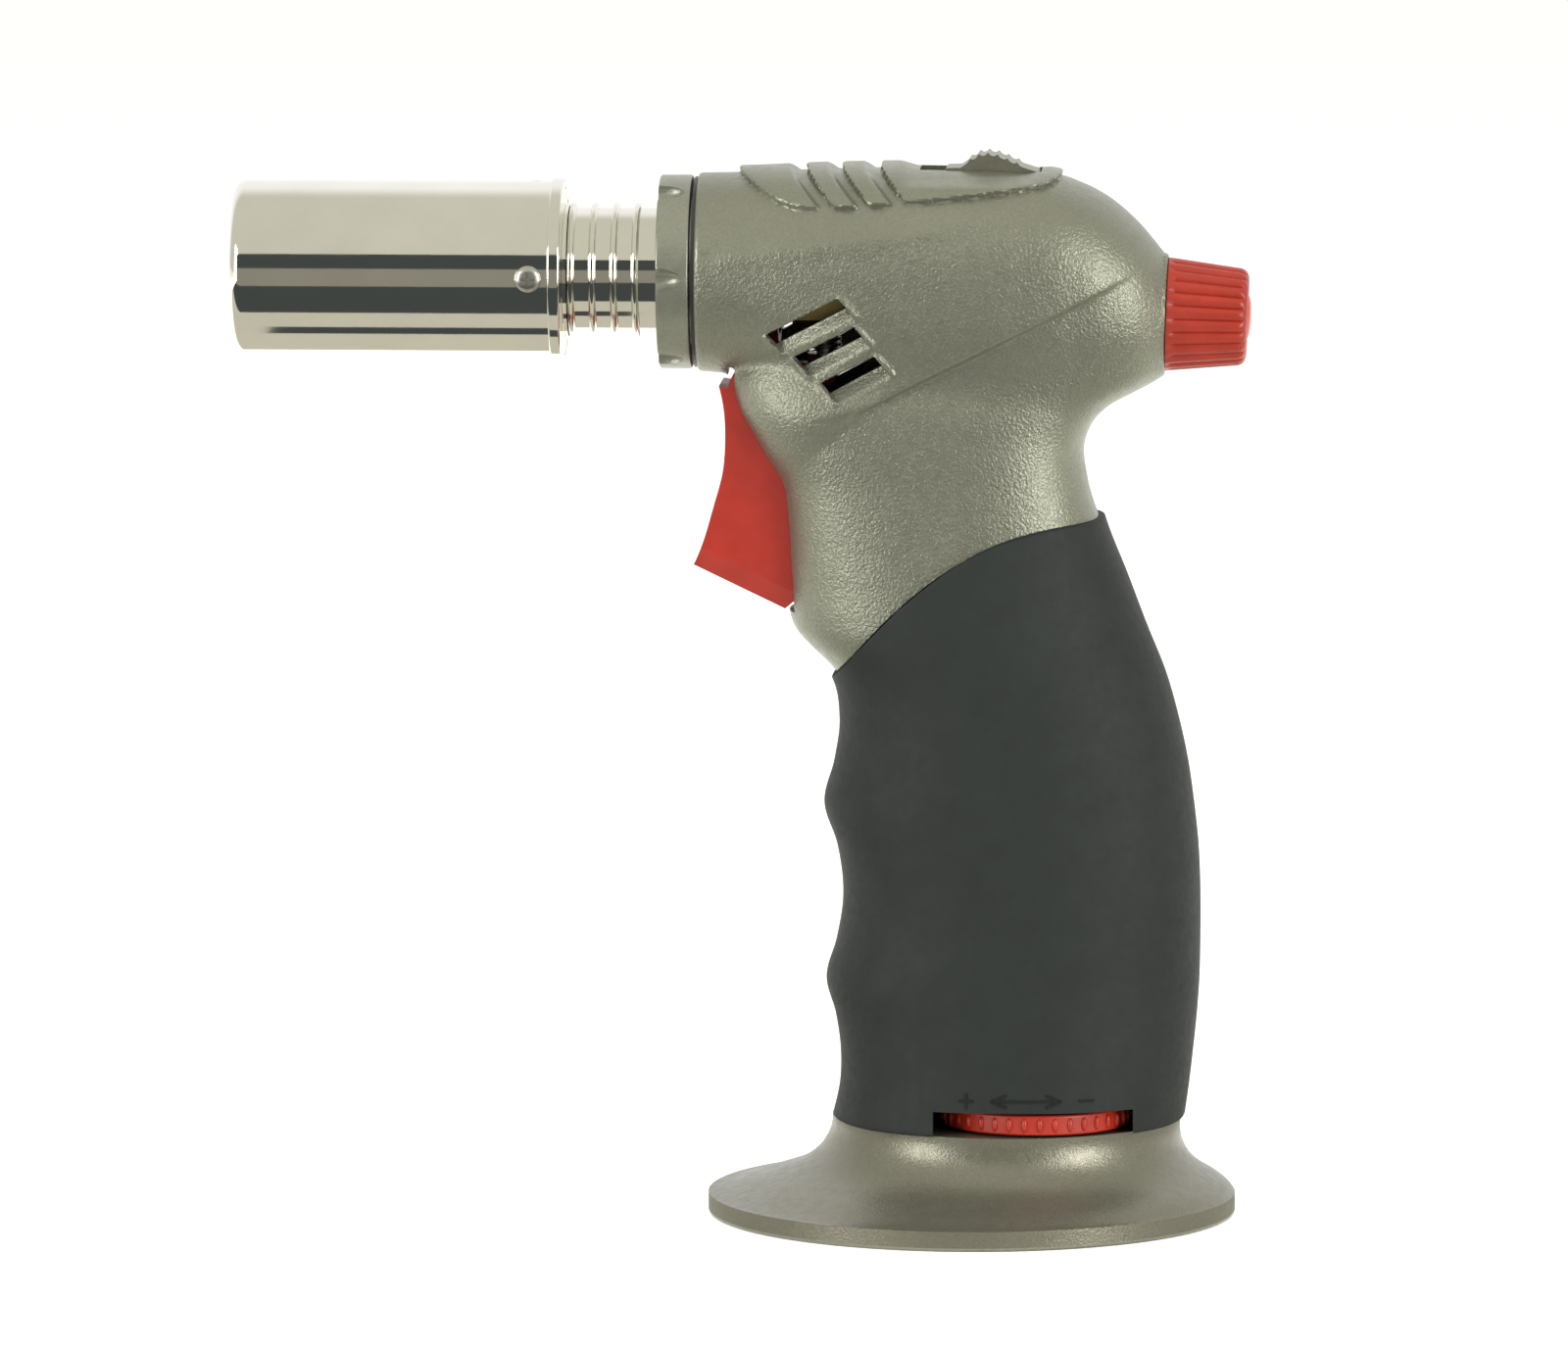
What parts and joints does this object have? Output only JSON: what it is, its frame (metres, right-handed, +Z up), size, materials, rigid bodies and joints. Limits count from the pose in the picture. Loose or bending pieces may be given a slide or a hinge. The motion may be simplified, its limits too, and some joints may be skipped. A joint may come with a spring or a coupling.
{
  "type": "butane torch",
  "caption": "Pistol-shaped hand-held butane torch with a flared round foot, finger-shaped grip, red trigger, red knob and chromed burner tube.",
  "frame": {"origin": "centre of the foot's underside, where the torch stands", "axes": "+Z up, -X the way the flame leaves, +X towards the rear knob, the casing is split along Y = 0"},
  "size_m": [0.1344, 0.07, 0.1415],
  "materials": {
    "grey_plastic": "fine spark grain, metallic paint",
    "grip_rubber": "soft-touch matt",
    "black_plastic": "matt",
    "red_plastic": "satin gloss",
    "white_plastic": "matt",
    "bright_chrome": "polished",
    "steel": "plain",
    "aluminium": "turned",
    "brass": "turned",
    "seal_rubber": "matt",
    "white_ceramic": "glazed ceramic"
  },
  "bodies": {
    "root": {"foot_shell": "grey_plastic", "foot_plate": "black_plastic", "foot_screws": "steel", "grip_shell": "grip_rubber", "fuel_tank": "black_plastic", "tank_lid": "black_plastic", "tank_screws": "steel", "fill_valve": "brass", "fill_spring": "steel", "fill_seal": "seal_rubber", "regulator_body": "brass", "casing_left": "grey_plastic", "casing_right": "grey_plastic", "casing_screws": "steel", "flame_tube": "bright_chrome", "tube_ring": "bright_chrome", "tube_screws": "bright_chrome", "burner_neck": "bright_chrome", "mixing_tube": "brass", "flame_holder": "brass", "gas_jet": "brass", "electrode_sleeve": "white_ceramic", "electrode": "steel", "air_bush": "aluminium", "nose_washer": "aluminium", "valve_block": "brass", "stem_spring": "steel", "gas_pipe": "seal_rubber", "knob_bush": "brass", "trigger_pin": "steel", "igniter_body": "black_plastic", "igniter_cable": "seal_rubber"},
    "trigger": {"trigger": "red_plastic"},
    "igniter_plunger": {"igniter_plunger": "white_plastic"},
    "valve_stem": {"valve_stem": "steel"},
    "air_collar": {"air_collar": "grey_plastic", "air_shutter": "aluminium"},
    "flame_knob": {"flame_knob": "red_plastic", "knob_stem": "steel", "knob_cap": "bright_chrome"},
    "lock_slide": {"lock_slide": "grey_plastic", "slide_clip": "black_plastic"},
    "gas_wheel": {"gas_wheel": "red_plastic", "regulator_needle": "steel"},
    "fill_stem": {"fill_stem": "steel"}
  },
  "joints": [
    {"name": "trigger_pull", "type": "hinge", "parent": "root", "child": "trigger", "pos_m": [-0.0285, 0, 0.11], "axis": [0, -1, 0], "range_deg": [0, 15], "stiffness_Nm_per_rad": 0.6, "springref_deg": -5.73},
    {"name": "igniter_push", "type": "slide", "parent": "root", "child": "igniter_plunger", "axis": [1, 0, 0], "range_m": [0, 0.0048]},
    {"name": "valve_lift", "type": "slide", "parent": "root", "child": "valve_stem", "axis": [0, 0, 1], "range_m": [0, 0.0025], "deforming": ["stem_spring"]},
    {"name": "air_turn", "type": "hinge", "parent": "root", "child": "air_collar", "pos_m": [-0.039, 0, 0.1252], "axis": [1, 0, 0], "range_deg": [0, 45]},
    {"name": "flame_turn", "type": "hinge", "parent": "root", "child": "flame_knob", "pos_m": [0.0253, 0, 0.1199], "axis": [0.9994, 0, -0.0349], "range_deg": [0, 270]},
    {"name": "lock_push", "type": "slide", "parent": "root", "child": "lock_slide", "axis": [-1, 0, 0], "range_m": [0, 0.003]},
    {"name": "gas_turn", "type": "hinge", "parent": "root", "child": "gas_wheel", "pos_m": [0.0088, -0.0101, 0.0135], "axis": [0, 0, 1], "range_deg": [-60, 60]},
    {"name": "fill_press", "type": "slide", "parent": "root", "child": "fill_stem", "axis": [0, 0, 1], "range_m": [0, 0.0012], "stiffness_N_per_m": 600, "springref_m": -0.0005, "deforming": ["fill_spring"]}
  ],
  "couplings": [
    {"joint": "igniter_push", "follows": "trigger_pull", "m_per_rad": 0.018},
    {"joint": "valve_lift", "follows": "trigger_pull", "m_per_rad": 0.009}
  ]
}
